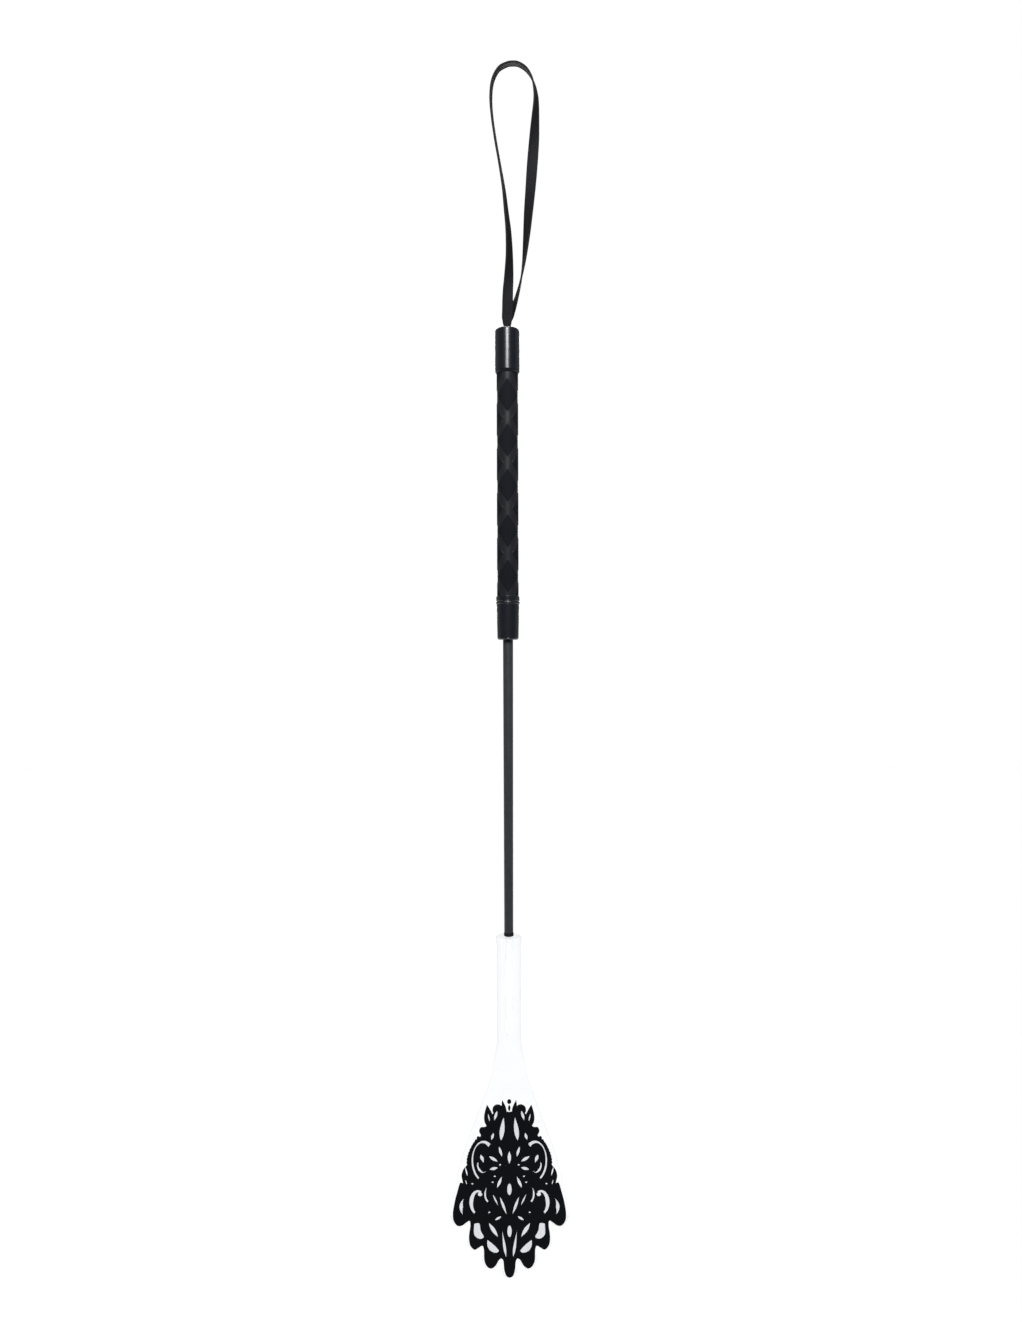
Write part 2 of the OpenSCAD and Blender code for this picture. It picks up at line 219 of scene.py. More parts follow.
def woven_material():
    """Plain weave: warp threads run along the strap and weft threads across it.

    The strap's UVs are in metres.
    """
    material = Material("woven_black", Specular_IOR_Level=0.1)
    place = material.place((1 / WARP_PITCH, 1 / WEFT_PITCH, 1), "UV")
    split = material.node("ShaderNodeSeparateXYZ")
    material.link(place, split.inputs["Vector"])
    across, along = (
        material.math("SINE", material.math("MULTIPLY", split.outputs[axis], math.pi))
        for axis in ("X", "Y")
    )
    height = material.math("ABSOLUTE", material.math("MULTIPLY", across, along))
    fuzz = material.noise(material.place(), 5200, 3, 0.7)
    # The weave's height also sets the colour: painted shade, darker in the gaps between the threads
    # than on their raised tops.
    thread_shade = material.math("MULTIPLY", height, 0.45)
    tone = material.math("ADD", thread_shade, material.math("MULTIPLY", fuzz, 0.7))
    shades = (0.25, 0.0015), (0.6, (0.0042, 0.0044, 0.0056)), (0.9, (0.036, 0.037, 0.04))
    material.feed(material.ramp(tone, *shades), "Base Color")
    material.feed(material.ramp(fuzz, (0.3, 0.55), (0.7, 0.85)), "Roughness")
    material.bump(tone, 0.9, WEAVE_DEPTH)
    return material


def fibreglass_material():
    """Pale resin with long glass fibres along the rod."""
    material = Material("fibreglass", Roughness=0.35)
    streaks = material.noise(material.place((1, 1, 0.02)), 2600, 3)
    shades = (0.3, (0.92, 0.92, 0.91)), (0.7, (0.97, 0.97, 0.965))
    material.feed(material.ramp(streaks, *shades), "Base Color")
    material.bump(streaks, 0.2, GRAIN_DEPTH)
    return material


def satin_material():
    """Dark grey sheath with a faint drawn grain along its length."""
    material = Material("satin_sheath", Specular_IOR_Level=0.3)
    drawn = material.noise(material.place((1, 1, 0.03)), 2400, 3)
    mottle = material.noise(material.place(), 260, 2)
    mixed = material.blend(drawn, mottle, FINE_SHARE)
    shades = (0.3, (0.026, 0.028, 0.032)), (0.7, (0.042, 0.045, 0.051))
    material.feed(material.ramp(mixed, *shades), "Base Color")
    material.feed(material.ramp(mixed, (0.3, 0.42), (0.7, 0.52)), "Roughness")
    material.bump(drawn, 0.15, DRAWN_DEPTH)
    return material


def clear_material():
    """Clear flexible plastic, with faint clouds in it, and painted shade: greyer where it is seen
    edge on.
    """
    material = Material("clear_keeper", Roughness=0.02, IOR=1.05, Transmission_Weight=1.0)
    clouds = material.noise(material.place(), 90, 2)
    cloudy = material.ramp(clouds, (0.3, (0.945, 0.953, 0.965)), (0.7, (0.965, 0.972, 0.98)))
    # painted shade: the tint greys where a surface is seen edge on, standing in for the dark lines
    # refraction draws along clear edges
    facing = material.node("ShaderNodeLayerWeight", Blend=0.5).outputs["Facing"]
    edges = material.ramp(facing, (0.25, 1.0), (0.6, (0.93, 0.94, 0.96)), (1.0, (0.66, 0.68, 0.72)))
    tint = material.node("ShaderNodeVectorMath", operation="MULTIPLY")
    material.link(cloudy, tint.inputs[0])
    material.link(edges, tint.inputs[1])
    material.feed(tint.outputs["Vector"], "Base Color")
    return material


def shade_film_material():
    """Painted shade: a thin sheet behind the ornament, a little lilac grey and mottled, that greys
    its openings.
    """
    material = Material("carrier_film", Roughness=0.2, IOR=1.04, Transmission_Weight=1.0)
    shade_mottle = material.noise(material.place(), 300, 3)
    # the sheet's grey is painted shade, mottled a little
    shades = (0.3, (0.72, 0.73, 0.76)), (0.7, (0.77, 0.78, 0.81))
    material.feed(material.ramp(shade_mottle, *shades), "Base Color")
    return material


def floor_material():
    """Nearly white, with a faint fleck."""
    material = Material("pale_floor", Roughness=0.9)
    speck = material.noise(material.place(), 40, 2)
    material.feed(material.ramp(speck, (0.2, 0.93), (0.8, 0.97)), "Base Color")
    return material


# ------------------------------------------------------------------ mesh helpers


def add_piece(name, mesh, *materials, smooth_deg=40):
    """Makes a mesh an object with its materials, smooth but for edges sharper than smooth_deg."""
    for material in materials:
        mesh.materials.append(material.data)
    mesh.shade_smooth()
    mesh.set_sharp_from_angle(angle=math.radians(smooth_deg))
    piece = bpy.data.objects.new(name, mesh)
    bpy.context.scene.collection.objects.link(piece)
    return piece


@contextmanager
def editing(mesh):
    """The mesh as a bmesh, which is written back at the end."""
    made = bmesh.new()
    made.from_mesh(mesh)
    yield made
    made.to_mesh(mesh)
    made.free()


def weld(mesh, distance=1e-7):
    """Joins points that are within the distance and turns all faces outwards."""
    with editing(mesh) as made:
        bmesh.ops.remove_doubles(made, verts=made.verts, dist=distance)
        bmesh.ops.recalc_face_normals(made, faces=made.faces)


def mesh_from(name, points, faces):
    mesh = bpy.data.meshes.new(name)
    mesh.from_pydata([tuple(p) for p in points], [], faces)
    return mesh


def ring_faces(rows, count):
    """The faces between rows of points, where each row goes round and closes."""
    faces = []
    for row in range(rows - 1):
        first, second = row * count, (row + 1) * count
        for k in range(count):
            after = (k + 1) % count
            faces.append((first + k, first + after, second + after, second + k))
    return faces


MOST_OF_SIDE = 0.42  # a rounding takes no more of the shorter side at its corner
GUARD = 1.15         # how far out the points beside an arc are, in roundings


def fillet(corners, steps=5):
    """A closed outline from (radius, height, rounding) corners.

    A point each side of every arc keeps the shading of the flats.
    """
    outline = []
    for here, (radius, height, size) in enumerate(corners):
        corner = Vector((radius, height))
        back = Vector(corners[here - 1][:2]) - corner
        ahead = Vector(corners[(here + 1) % len(corners)][:2]) - corner
        reach = min(size, back.length * MOST_OF_SIDE, ahead.length * MOST_OF_SIDE)
        start = corner + back.normalized() * reach
        end = corner + ahead.normalized() * reach
        outline.append(corner + back.normalized() * reach * GUARD)
        for step in range(steps + 1):
            t = step / steps
            outline.append(start * (1 - t) ** 2 + corner * 2 * t * (1 - t) + end * t * t)
        outline.append(corner + ahead.normalized() * reach * GUARD)
    return outline


def lathe(name, outline, segments=128):
    """Turns a closed outline of (radius, height) round the crop's axis."""
    points, faces = [], []
    rings = len(outline)
    for segment in range(segments):
        angle = 2 * math.pi * segment / segments
        for radius, height in outline:
            points.append((radius * math.cos(angle), radius * math.sin(angle), height))
    for segment in range(segments):
        here, there = segment * rings, (segment + 1) % segments * rings
        for ring in range(rings):
            after = (ring + 1) % rings
            faces.append((here + ring, here + after, there + after, there + ring))
    mesh = mesh_from(name, points, faces)
    weld(mesh)
    with editing(mesh) as made:
        bmesh.ops.dissolve_degenerate(made, dist=1e-8, edges=made.edges)
    return mesh


def ease(t):
    """A soft step from 0 to 1 as t goes from 0 to 1."""
    t = max(0.0, min(1.0, t))
    return t * t * (3 - 2 * t)


def ride_on(body, slot, piece, *nodes):
    """The piece rides on a body and stands for CAD nodes, which are hidden; slot is not used."""
    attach(piece, body)
    if nodes:
        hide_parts(*nodes)


# ------------------------------------------------------------------ strap

STRAP_WIDTH = 7 * MM
STRAP_THICKNESS = 1.2 * MM
GATHER_WIDTH = 3.8 * MM
GATHER_THICKNESS = 1.53 * MM
STRAP_STEPS = 10     # points of the smooth curve for each point of the route
# Middle line of the strap, as in the CAD: x, y, z in metres, turn of its face in degrees and
# how far it is gathered. Both ends go straight down through the cap's hole. Just above the
# cap its face is turned up to 9 degrees further than the CAD's.
STRAP_ROUTE = [
    (0, -0.000815, -0.1763, -90, 1), (0, -0.000815, -0.1715, -90, 1),
    (0, -0.00083, -0.1688, -90, 0.85), (0, -0.00087, -0.1668, -90, 0.5),
    (0, -0.00095, -0.1647, -90, 0.2), (0, -0.001, -0.1625, -86, 0.05),
    (0.0002, -0.0012, -0.1585, -83, 0), (0.0003, -0.0014, -0.153, -80, 0),
    (0.0006, -0.0013, -0.145, -71, 0), (0.0011, -0.0008, -0.1375, -57, 0),
    (0.0015, -0.0004, -0.126, -39, 0), (0.0014, 0, -0.116, -31, 0),
    (0.0008, 0, -0.105, -25, 0), (-0.0004, 0, -0.094, -19, 0),
    (-0.002, 0, -0.0795, -13, 0), (-0.0045, 0, -0.064, -9, 0),
    (-0.0072, 0, -0.0485, -8, 0), (-0.0094, 0, -0.033, -7, 0),
    (-0.0102, 0, -0.0205, -6, 0), (-0.009, 0, -0.01, -2, 0),
    (-0.0052, 0, -0.0024, 4, 0), (0, 0, 0.0007, 8, 0),
    (0.0038, 0, 0.0014, 9, 0), (0.008, 0, 0.0008, 9, 0),
    (0.0132, 0, -0.0028, 8, 0), (0.0171, 0, -0.0095, 12, 0),
    (0.0189, 0, -0.018, 20, 0), (0.0191, 0, -0.025, 27, 0),
    (0.0186, 0, -0.034, 41, 0), (0.0177, 0, -0.0485, 66, 0),
    (0.0165, 0, -0.064, 90, 0), (0.0153, 0.0002, -0.0795, 109, 0),
    (0.014, 0.0006, -0.094, 127, 0), (0.0127, 0.0012, -0.11, 147, 0),
    (0.011, 0.0022, -0.126, 167, 0), (0.009, 0.003, -0.1375, 178, 0),
    (0.0072, 0.0036, -0.145, 184, 0), (0.0048, 0.0039, -0.153, 196, 0),
    (0.0021, 0.0022, -0.159, 232, 0.1), (0.0004, 0.0011, -0.163, 264, 0.2),
    (0, 0.00095, -0.1647, 270, 0.3), (0, 0.00087, -0.1668, 270, 0.5),
    (0, 0.00083, -0.1688, 270, 0.85), (0, 0.000815, -0.1715, 270, 1),
    (0, 0.000815, -0.1763, 270, 1),
]


def smooth_step(a, b, c, d, t):
    """The value at t of the smooth curve from b to c that comes from a and goes on to d."""
    return 0.5 * (
        2 * b
        + (c - a) * t
        + (2 * a - 5 * b + 4 * c - d) * t * t
        + (3 * b - a - 3 * c + d) * t ** 3
    )


def smooth_route(points, steps):
    """The smooth curve through a list of points, all their numbers alike."""
    last = len(points) - 1
    route = []
    for i in range(last):
        near = [points[min(max(i + k, 0), last)] for k in (-1, 0, 1, 2)]
        for step in range(steps):
            route.append([smooth_step(*values, step / steps) for values in zip(*near)])
    route.append(list(points[last]))
    return route


SECTION_STEPS = 14
FLAT_REACH = 0.93       # how far across the strap its faces go, in half widths
SELVEDGE = (0.62, 0.2)  # where its thicker edge starts, and how soft that start is
MIDDLE_THICKNESS = 0.8  # of the edge's


def strap_section():
    """One face of the strap's section and then the other, as (across, through) from -1 to 1.

    Its edges are a little thicker than its middle, and round.
    """
    half = []
    for i in range(SECTION_STEPS + 1):
        across = FLAT_REACH * (2 * i / SECTION_STEPS - 1)
        edge = ease((abs(across) - SELVEDGE[0]) / SELVEDGE[1])
        half.append((across, MIDDLE_THICKNESS + (1 - MIDDLE_THICKNESS) * edge))
    half += [(0.975, 0.72), (1.0, 0.0)]
    return half + [(-a, -t) for a, t in half]


def strap_mesh(route):
    """The strap along its route, with a UV map in metres: across it and along it."""
    section = strap_section()
    count = len(section)
    points, marks = [], []
    travelled = 0.0
    for i, (x, y, z, turn, gather) in enumerate(route):
        centre = Vector((x, y, z))
        behind = Vector(route[max(i - 1, 0)][:3])
        ahead = Vector(route[min(i + 1, len(route) - 1)][:3])
        travelled += (centre - behind).length
        along = (ahead - behind).normalized()
        normal = along.cross(Vector((0, 1, 0))).normalized()
        broad = normal.cross(along)
        angle = math.radians(turn)
        across = broad * math.cos(angle) + normal * math.sin(angle)
        through = along.cross(across)
        half_width = (STRAP_WIDTH + (GATHER_WIDTH - STRAP_WIDTH) * gather) / 2
        half_thick = (STRAP_THICKNESS + (GATHER_THICKNESS - STRAP_THICKNESS) * gather) / 2
        for a, t in section:
            points.append(centre + across * a * half_width + through * t * half_thick)
            marks.append((a * STRAP_WIDTH / 2, travelled))
    faces = ring_faces(len(route), count)
    faces.append(tuple(range(count)))
    faces.append(tuple(reversed(range(len(points) - count, len(points)))))
    mesh = mesh_from("strap_ribbon", points, faces)
    layer = mesh.uv_layers.new(name="weave")
    for loop in mesh.loops:
        layer.data[loop.index].uv = marks[loop.vertex_index]
    with editing(mesh) as made:
        bmesh.ops.recalc_face_normals(made, faces=made.faces)
    return mesh


def make_strap(look):
    """A flat woven loop whose two gathered ends go down through the cap's hole."""
    route = smooth_route(STRAP_ROUTE, STRAP_STEPS)
    strap = add_piece("strap_ribbon", strap_mesh(route), look, smooth_deg=60)
    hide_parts("wrist_loop", "strap_tails")
    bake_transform(strap)


# ------------------------------------------------------------------ handle

CORE_RADIUS = 5.75 * MM
CAP_EDGE = 2.2 * MM             # rounding of the top edge
CAP_HOLE_RADIUS = 2.8 * MM
CAP_WALL = 6 * MM               # thickness of the end wall
CAP_LIP = (0.5 * MM, 1.5 * MM)  # bevel of the lower edge, inwards and upwards


def make_cap(look):
    """A cup with a rounded top, a hole for the strap and a bevelled lower edge."""
    radius = radius_of("top_cap")
    bottom = bottom_of("top_cap")
    lip_in, lip_up = CAP_LIP
    wall = CAP_TOP - CAP_WALL
    outline = fillet(
        [
            (CAP_HOLE_RADIUS, CAP_TOP, 0.6 * MM),
            (radius, CAP_TOP, CAP_EDGE),
            (radius, bottom + lip_up, 0.3 * MM),
            (radius - lip_in, bottom, 0.3 * MM),
            (CORE_RADIUS, bottom, 0.1 * MM),
            (CORE_RADIUS, wall, 0.1 * MM),
            (CAP_HOLE_RADIUS, wall, 0.1 * MM),
        ],
        steps=8,
    )
    piece = add_piece("cap_shell", lathe("cap_shell", outline), look)
    ride_on("handle", "gloss_black", piece, "top_cap")


FERRULE_RIM = 7.55 * MM   # radius, as are the next two
FERRULE_BODY = 7.25 * MM
FERRULE_TIP = 6.8 * MM
FERRULE_SOCKET = 16 * MM  # how far the core goes in
TIP_ROUNDING = 1.9 * MM
SHEATH_GAP = 0.05 * MM


def make_ferrule(look):
    """A rim against the grip, a groove, a bead, a groove and a long taper to a rounded end."""
    bead = radius_of("lower_ferrule")
    bore = radius_of("shaft_sheath") + SHEATH_GAP
    rows = [  # radius, millimetres below the top, rounding in millimetres
        (CORE_RADIUS, 0, 0.1),
        (FERRULE_RIM, 0, 0.25),
        (FERRULE_RIM, 2.75, 0.25),
        (FERRULE_BODY - 0.05 * MM, 3.3, 0.15),
        (FERRULE_BODY, 3.5, 0.1),
        (bead, 3.75, 0.3),
        (bead, 4.65, 0.3),
        (FERRULE_BODY, 4.95, 0.15),
        (FERRULE_BODY, 6.5, 0.6),
    ]
    corners = [(radius, GRIP_END - below * MM, size * MM) for radius, below, size in rows]
    corners += [
        (FERRULE_TIP, FERRULE_END, TIP_ROUNDING),
        (bore, FERRULE_END, 0.2 * MM),
        (bore, GRIP_END - FERRULE_SOCKET, 0.1 * MM),
        (CORE_RADIUS, GRIP_END - FERRULE_SOCKET, 0.1 * MM),
    ]
    piece = add_piece("ferrule_shell", lathe("ferrule_shell", fillet(corners, steps=6)), look)
    ride_on("handle", "gloss_black", piece, "lower_ferrule")


# ------------------------------------------------------------------ grip

PAD_PITCH = 29 * MM    # between two pads of one row
FIRST_PAD = 15.1 * MM  # middle of the highest front pad, below the grip's top
PAD_RISE = 0.25 * MM
BAND_HALF = 0.135      # half width of a lattice band, in pads
BAND_EDGE = 0.022      # width of a pad's sloping edge, in pads
PAD_STARTS = 0.4       # share of the rise from which a face has the pad's look


def grip_lines():
    """Where the grip's mesh has its lines across one pad, from 0 to 1, closer at its edges."""
    half = [0, 0.05, 0.1, BAND_HALF - BAND_EDGE]
    half += [BAND_HALF + BAND_EDGE * k / 3 for k in (-1, 0, 1, 2, 3)]
    half += [0.2 + 0.06 * k for k in range(5)]
    return half + [0.5] + [1 - t for t in reversed(half[1:])]


def pad_height(a, b):
    """How far the pad stands up at a place that is a and b pads along the two helices."""
    low = 1.0
    for t in (a, b):
        inside = 0.5 - abs(t % 1 - 0.5)
        low = min(low, ease((inside - BAND_HALF + BAND_EDGE / 3) / (BAND_EDGE * 4 / 3)))
    return low


def make_grip(lattice, pad):
    """The mesh follows the two families of helices, so every pad's edge is a clean line."""
    outer = radius_of("grip_sleeve")
    lines = grip_lines()
    count = len(lines) - 1
    turn = 2 * count
    middle = GRIP_TOP - FIRST_PAD
    points, number, faces, raised = [], {}, [], []

    def corner(i, j):
        """The number of the point on lines i and j, which come round again after two pads."""
        shift = math.floor((i + j) / (2 * turn)) * turn
        key = (i - shift, j - shift)
        if key not in number:
            a, b = (k // count + lines[k % count] for k in key)
            angle = math.radians(90) * (a + b)
            radius = outer - PAD_RISE * (1 - pad_height(a, b))
            height = middle + (a - b) * PAD_PITCH / 2
            number[key] = len(points)
            points.append((radius * math.cos(angle), radius * math.sin(angle), height))
        return number[key]

    rows = math.ceil((GRIP_TOP - GRIP_END) / (PAD_PITCH / 2)) + 1
    for row in range(-rows, 3):  # from below the grip to above it
        for j in range(2):  # two pads go round it
            first = (row + j) * count, j * count
            for p in range(first[0], first[0] + count):
                for q in range(first[1], first[1] + count):
                    around = (p, q), (p + 1, q), (p + 1, q + 1), (p, q + 1)
                    faces.append([corner(*place) for place in around])
                    centre = [(lines[k % count] + lines[k % count + 1]) / 2 for k in (p, q)]
                    raised.append(pad_height(*centre) > PAD_STARTS)
    mesh = mesh_from("grip_lattice", points, faces)
    mesh.polygons.foreach_set("material_index", [int(r) for r in raised])
    with editing(mesh) as made:
        bmesh.ops.remove_doubles(made, verts=made.verts, dist=1e-7)
        for height, side in ((GRIP_TOP, 1), (GRIP_END, -1)):
            bmesh.ops.bisect_plane(
                made,
                geom=list(made.verts) + list(made.edges) + list(made.faces),
                plane_co=(0, 0, height),
                plane_no=(0, 0, side),
                clear_outer=True,
                dist=1e-7,
            )
        bmesh.ops.holes_fill(made, edges=[e for e in made.edges if e.is_boundary], sides=0)
        bmesh.ops.recalc_face_normals(made, faces=made.faces)
    piece = add_piece("grip_lattice", mesh, lattice, pad, smooth_deg=60)
    ride_on("handle", "grip_rubber", piece, "grip_sleeve")


# ------------------------------------------------------------------ shaft

SHEATH_BORE = 2.45 * MM
RING_STEP = 0.225 * MM  # how far the ring stands out from the sheath's end


def make_sheath(look):
    """A tube, straight inside the ferrule and then tapering down to the ring."""
    top_radius = radius_of("shaft_sheath")
    ring_top = top_of("shaft_ring")
    end_radius = radius_of("shaft_ring") - RING_STEP
    sheath = fillet(
        [
            (SHEATH_BORE, top_of("shaft_sheath"), 0.05 * MM),
            (top_radius, top_of("shaft_sheath"), 0.2 * MM),
            (top_radius, FERRULE_END, 1 * MM),
            (end_radius, ring_top, 0.05 * MM),
            (SHEATH_BORE, ring_top, 0.05 * MM),
        ]
    )
    piece = add_piece("sheath_tube", lathe("sheath_tube", sheath), look)
    ride_on("handle", "sheath", piece, "shaft_sheath")


def make_ring(look):
    """The small rounded ring that closes the sheath's lower end."""
    ring_radius = radius_of("shaft_ring")
    ring_top = top_of("shaft_ring")
    ring = fillet(
        [
            (SHEATH_BORE, ring_top, 0.1 * MM),
            (ring_radius, ring_top, 0.25 * MM),
            (ring_radius, SHAFT_END, 0.35 * MM),
            (SHEATH_BORE, SHAFT_END, 0.1 * MM),
        ]
    )
    piece = add_piece("ring_band", lathe("ring_band", ring), look)
    ride_on("handle", "ring_black", piece, "shaft_ring")


def make_rod(look):
    """The solid rod from the handle into the keeper's neck."""
    radius = radius_of("core_rod")
    top, end = top_of("core_rod"), bottom_of("core_rod")
    rod = fillet([(0, top, 0), (radius, top, 0.2 * MM), (radius, end, 0.4 * MM), (0, end, 0)])
    piece = add_piece("rod_core", lathe("rod_core", rod, 64), look)
    ride_on("handle", "fibreglass", piece, "core_rod")


# ------------------------------------------------------------------ keeper

FACE_TOLERANCE = 0.01 * MM
PLATE_WELD = 0.001 * MM
# Sizes of the sheet of painted shade that greys the ornament's openings:
SHADE_FILM_THICKNESS = 0.1 * MM
SHADE_FILM_DEPTH = 0.3 * MM      # in front of the ornament's back
SHADE_FILM_NARROWER = 0.99
SHADE_FILM_EDGE = 0.02 * MM      # rounding of its edges, as are the next two
ORNAMENT_EDGE = 0.12 * MM
BLADE_EDGE = 0.9 * MM
FEWEST_POINTS = 20         # the blade's outline has more; other flats at its front have fewer


def rim_edges(node):
    """The outer and inner edges of a CAD node's front face, and the (x, z) of their ends."""
    source = frame["nodes"][node].data
    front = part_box(node)[0].y
    edges, places = {}, {}
    for polygon in source.polygons:
        corners = [source.vertices[v].co for v in polygon.vertices]
        if any(abs(c.y - front) > FACE_TOLERANCE for c in corners):
            continue
        keys = [(round(c.x * 1e6), round(c.z * 1e6)) for c in corners]
        for key, c in zip(keys, corners):
            places[key] = (c.x, c.z)
        for a, b in zip(keys, keys[1:] + keys[:1]):
            if (b, a) in edges:
                del edges[(b, a)]
            else:
                edges[(a, b)] = True
    return edges, places


def face_loops(node):
    """The outlines of a CAD node's front face, each a list of (x, z)."""
    edges, places = rim_edges(node)
    after = {}
    for a, b in edges:
        after.setdefault(a, []).append(b)
    loops = []
    while after:
        start = min(after)
        loop = [start]
        here = after[start].pop()
        while here != start:
            loop.append(here)
            onward = after[here].pop()
            if not after[here]:
                del after[here]
            here = onward
        if not after[start]:
            del after[start]
        loops.append([places[key] for key in loop])
    return loops


def evaluated_mesh(piece):
    """The object's mesh with its curve or modifiers carried out."""
    bpy.context.view_layer.update()
    graph = bpy.context.evaluated_depsgraph_get()
    mesh = bpy.data.meshes.new_from_object(piece.evaluated_get(graph))
    mesh.materials.clear()
    return mesh


def plate_mesh(name, loops, y, thickness, edge, steps=3):
    """A plate across Y round y, whose outlines and holes have rounded edges."""
    data = bpy.data.curves.new(name, "CURVE")
    data.dimensions = "2D"
    data.fill_mode = "BOTH"
    data.extrude = thickness / 2 - edge
    data.bevel_depth = edge
    data.bevel_resolution = steps
    data.offset = -edge
    for loop in loops:
        spline = data.splines.new("POLY")
        spline.points.add(len(loop) - 1)
        for point, (x, z) in zip(spline.points, loop):
            point.co = (x, z, 0, 1)
        spline.use_cyclic_u = True
    drawn = bpy.data.objects.new(name + "_outline", data)
    bpy.context.scene.collection.objects.link(drawn)
    mesh = evaluated_mesh(drawn)
    mesh.name = name
    bpy.data.objects.remove(drawn)
    bpy.data.curves.remove(data)
    for vertex in mesh.vertices:
        x, z, through = vertex.co
        vertex.co = (x, y - through, z)
    weld(mesh, PLATE_WELD)
    return mesh


def make_shade_film(look):
    """A sheet of painted shade on the blade that the ornament's outer outline bounds; it shows in
    the openings and greys them.
    """
    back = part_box("filigree_panel")[1].y
    outline = max(face_loops("filigree_panel"), key=lambda loop: max(x for x, z in loop))
    outline = [(x * SHADE_FILM_NARROWER, z) for x, z in outline]
    middle = back - SHADE_FILM_DEPTH
    shade_sheet = plate_mesh("ornament_film", [outline], middle, SHADE_FILM_THICKNESS, SHADE_FILM_EDGE, 1)
    ride_on("flap", "clear_keeper", add_piece("ornament_film", shade_sheet, look))


def make_ornament(look):
    """The ornament's plate and its loose finial pieces, with rounded edges."""
    for node, name in (("filigree_panel", "filigree_plate"), ("finial_studs", "finial_pair")):
        low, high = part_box(node)
        middle, thickness = (low.y + high.y) / 2, high.y - low.y
        mesh = plate_mesh(name, face_loops(node), middle, thickness, ORNAMENT_EDGE)
        ride_on("flap", "ornament", add_piece(name, mesh, look, smooth_deg=50), node)


NECK_ROWS = 60
NECK_SEGMENTS = 96
NECK_RADIUS = 7.75 * MM
COLLAR_TOP = (0.2 * MM, 0.5 * MM)   # where the collar starts below the mouth, and how softly
COLLAR_END = (4.2 * MM, 0.7 * MM)   # where it ends, and how softly
MOUTH_EDGE = (0.35 * MM, 0.4 * MM)  # rounding of the mouth, inwards and downwards
FLARE = (15 * MM, -12 * MM)         # from round to flat between these, above the bend line
FLAT_HALF_WIDTH = 11.2 * MM
FLAT_DEPTH = 0.93                   # of the blade's thickness
FLAT_SQUARENESS = 0.6               # 0 is an ellipse, and near 1 a box


def neck_heights():
    """Rows of the neck's mesh: close at the mouth and collar, and along the flare."""
    heights = [NECK_TOP - below * MM for below in (0, 0.15, 0.4, 0.7)]
    heights += [NECK_TOP - (0.9 + 0.6 * k) * MM for k in range(8)]
    start, end = BEND_Z + FLARE[0], BEND_Z + FLARE[1]
    heights += [heights[-1] + (start - heights[-1]) * k / 12 for k in range(1, 13)]
    return heights + [start + (end - start) * k / NECK_ROWS for k in range(1, NECK_ROWS + 1)]


def neck_mesh():
    """The neck from its collar down to inside the blade, round at first and then flat."""
    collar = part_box("keeper_neck")[1].y - NECK_RADIUS  # its round part is as deep as it is wide
    half_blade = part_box("keeper_blade")[1].y
    heights = neck_heights()
    points = []
    for height in heights:
        below = NECK_TOP - height
        swell = collar * ease((below - COLLAR_TOP[0]) / COLLAR_TOP[1])
        swell *= 1 - ease((below - COLLAR_END[0]) / COLLAR_END[1])
        lip = MOUTH_EDGE[0] * (1 - ease(below / MOUTH_EDGE[1]))
        flat = ease((BEND_Z + FLARE[0] - height) / (FLARE[0] - FLARE[1]))
        radius = (NECK_RADIUS + swell - lip) * (1 - flat)
        width = radius + FLAT_HALF_WIDTH * flat
        depth = radius + half_blade * FLAT_DEPTH * flat
        power = 1 - FLAT_SQUARENESS * flat
        for k in range(NECK_SEGMENTS):
            angle = 2 * math.pi * k / NECK_SEGMENTS
            c, s = math.cos(angle), math.sin(angle)
            x = width * math.copysign(abs(c) ** power, c)
            y = depth * math.copysign(abs(s) ** power, s)
            points.append((x, y, height))
    faces = ring_faces(len(heights), NECK_SEGMENTS)
    faces.append(tuple(range(NECK_SEGMENTS)))
    faces.append(tuple(range(len(points) - NECK_SEGMENTS, len(points))))
    mesh = mesh_from("keeper_neck_part", points, faces)
    weld(mesh)
    return mesh


def make_keeper(look):
    """Neck and blade are one clear moulding, joined into one mesh."""
    low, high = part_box("keeper_blade")
    loops = [loop for loop in face_loops("keeper_blade") if len(loop) > FEWEST_POINTS]
    blade = plate_mesh("keeper_clear", loops, 0, high.y - low.y, BLADE_EDGE, 4)
    neck = bpy.data.objects.new("neck_part", neck_mesh())
    keeper = bpy.data.objects.new("keeper_clear", blade)
    for part in (neck, keeper):
        bpy.context.scene.collection.objects.link(part)
    join = keeper.modifiers.new("join", "BOOLEAN")
    join.operation = "UNION"
    join.solver = "EXACT"
    join.object = neck
    joined = evaluated_mesh(keeper)
    for part in (neck, keeper):
        bpy.data.objects.remove(part)
    weld(joined, PLATE_WELD)
    keeper = add_piece("keeper_clear", joined, look, smooth_deg=50)
    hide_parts("keeper_neck", "keeper_blade")
    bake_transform(keeper)


# ------------------------------------------------------------------ studio

ROOM_FRONT = 0.07          # radiance of the room before the crop and behind it
ROOM_BACK = 0.3
ROOM_EDGE = (-0.35, 0.15)  # Y of the directions between which it changes
FLOOR_Z = -1.1
FLOOR_FRONT, FLOOR_BACK, FLOOR_SIDE = -0.4, 6, 4
SUN_ENERGY = 2.8
SUN_ANGLE = 30             # degrees across
KEY = {"place": (0, -0.9, 0.45), "target": (0, 0, 0.45), "size": (0.3, 0.74), "radiance": 34}
REAR = {"place": (0, 1.1, 0.1), "target": (0, 0, -0.4), "size": (0.5, 0.9), "radiance": 10}
GLINT = {
    "place": (0.02, -0.8, -1.05),
    "target": (0, 0, FERRULE_END),
    "size": (0.16, 0.2),
    "radiance": 40,
}
KEEPER_PIECES = ("keeper_clear", "ornament_film", "filigree_plate", "finial_pair")


